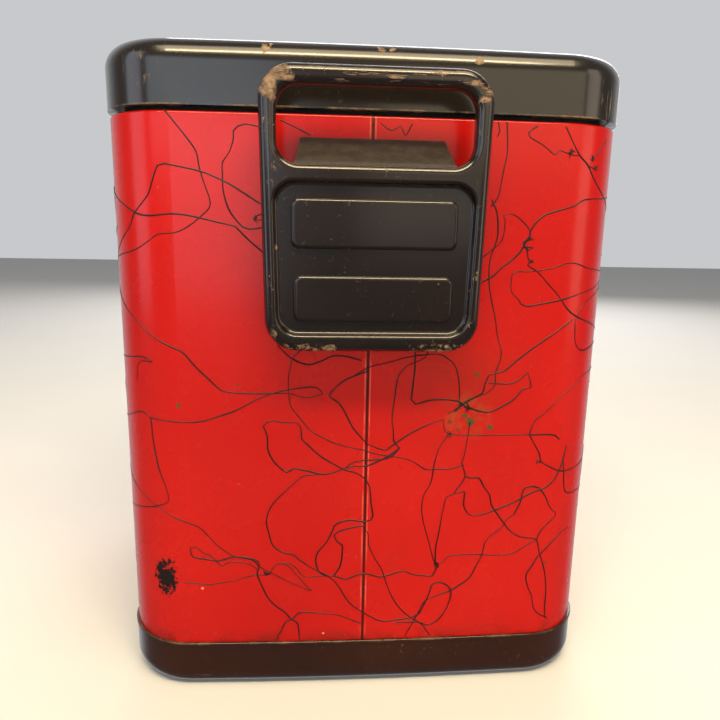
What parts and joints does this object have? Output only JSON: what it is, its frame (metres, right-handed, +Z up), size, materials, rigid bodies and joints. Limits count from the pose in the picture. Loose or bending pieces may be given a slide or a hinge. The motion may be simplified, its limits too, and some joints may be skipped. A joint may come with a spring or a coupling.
{
  "type": "lunch box",
  "caption": "Picnic-size insulated metal lunch box, rounded square tin with a hinged lid, side latch, black base pan and a stamped carrying plate on each end.",
  "frame": {"origin": "centre of the underside, on the plane that the box stands on", "axes": "+Z up; -Y towards the end with the lock seam; +X towards the hinges; -X towards the latch"},
  "size_m": [0.255, 0.294, 0.31],
  "materials": {
    "red_enamel": "glossy red enamel with a random black string pattern, chipped",
    "black_enamel": "glossy black enamel, worn through at the edges",
    "tinned_steel": "dull bright tinned sheet",
    "glass_wool": "loose yellow glass wool, hidden",
    "rubber": "soft black rubber",
    "plated_steel": "nickel-plated steel, dulled"
  },
  "bodies": {
    "box": {"shell": "red_enamel", "base_pan": "black_enamel", "liner": "tinned_steel", "jacket_insulation": "glass_wool", "handle_front": "black_enamel", "handle_rear": "black_enamel", "bracket_front": "black_enamel", "bracket_rear": "black_enamel", "bracket_rivets_front": "plated_steel", "bracket_rivets_rear": "plated_steel", "hinge_body_leaf_left": "plated_steel", "hinge_body_leaf_right": "plated_steel", "hinge_pin_left": "plated_steel", "hinge_pin_right": "plated_steel", "hinge_rivets_body": "plated_steel", "latch_plate": "plated_steel", "latch_pin": "plated_steel", "latch_rivets": "plated_steel"},
    "lid": {"lid_cap": "black_enamel", "lid_pan": "tinned_steel", "lid_insulation": "glass_wool", "lid_gasket": "rubber", "hinge_lid_leaf_left": "plated_steel", "hinge_lid_leaf_right": "plated_steel", "hinge_rivets_lid": "plated_steel", "keeper": "plated_steel", "keeper_rivets": "plated_steel"},
    "clasp": {"latch_clasp": "plated_steel"}
  },
  "joints": [
    {"name": "lid_hinge", "type": "hinge", "parent": "box", "child": "lid", "pos_m": [0.1245, 0, 0.281], "axis": [0, 1, 0], "range_deg": [0, 180]},
    {"name": "clasp_pivot", "type": "hinge", "parent": "box", "child": "clasp", "pos_m": [-0.1245, 0, 0.2641], "axis": [0, 1, 0], "range_deg": [0, 180]}
  ]
}
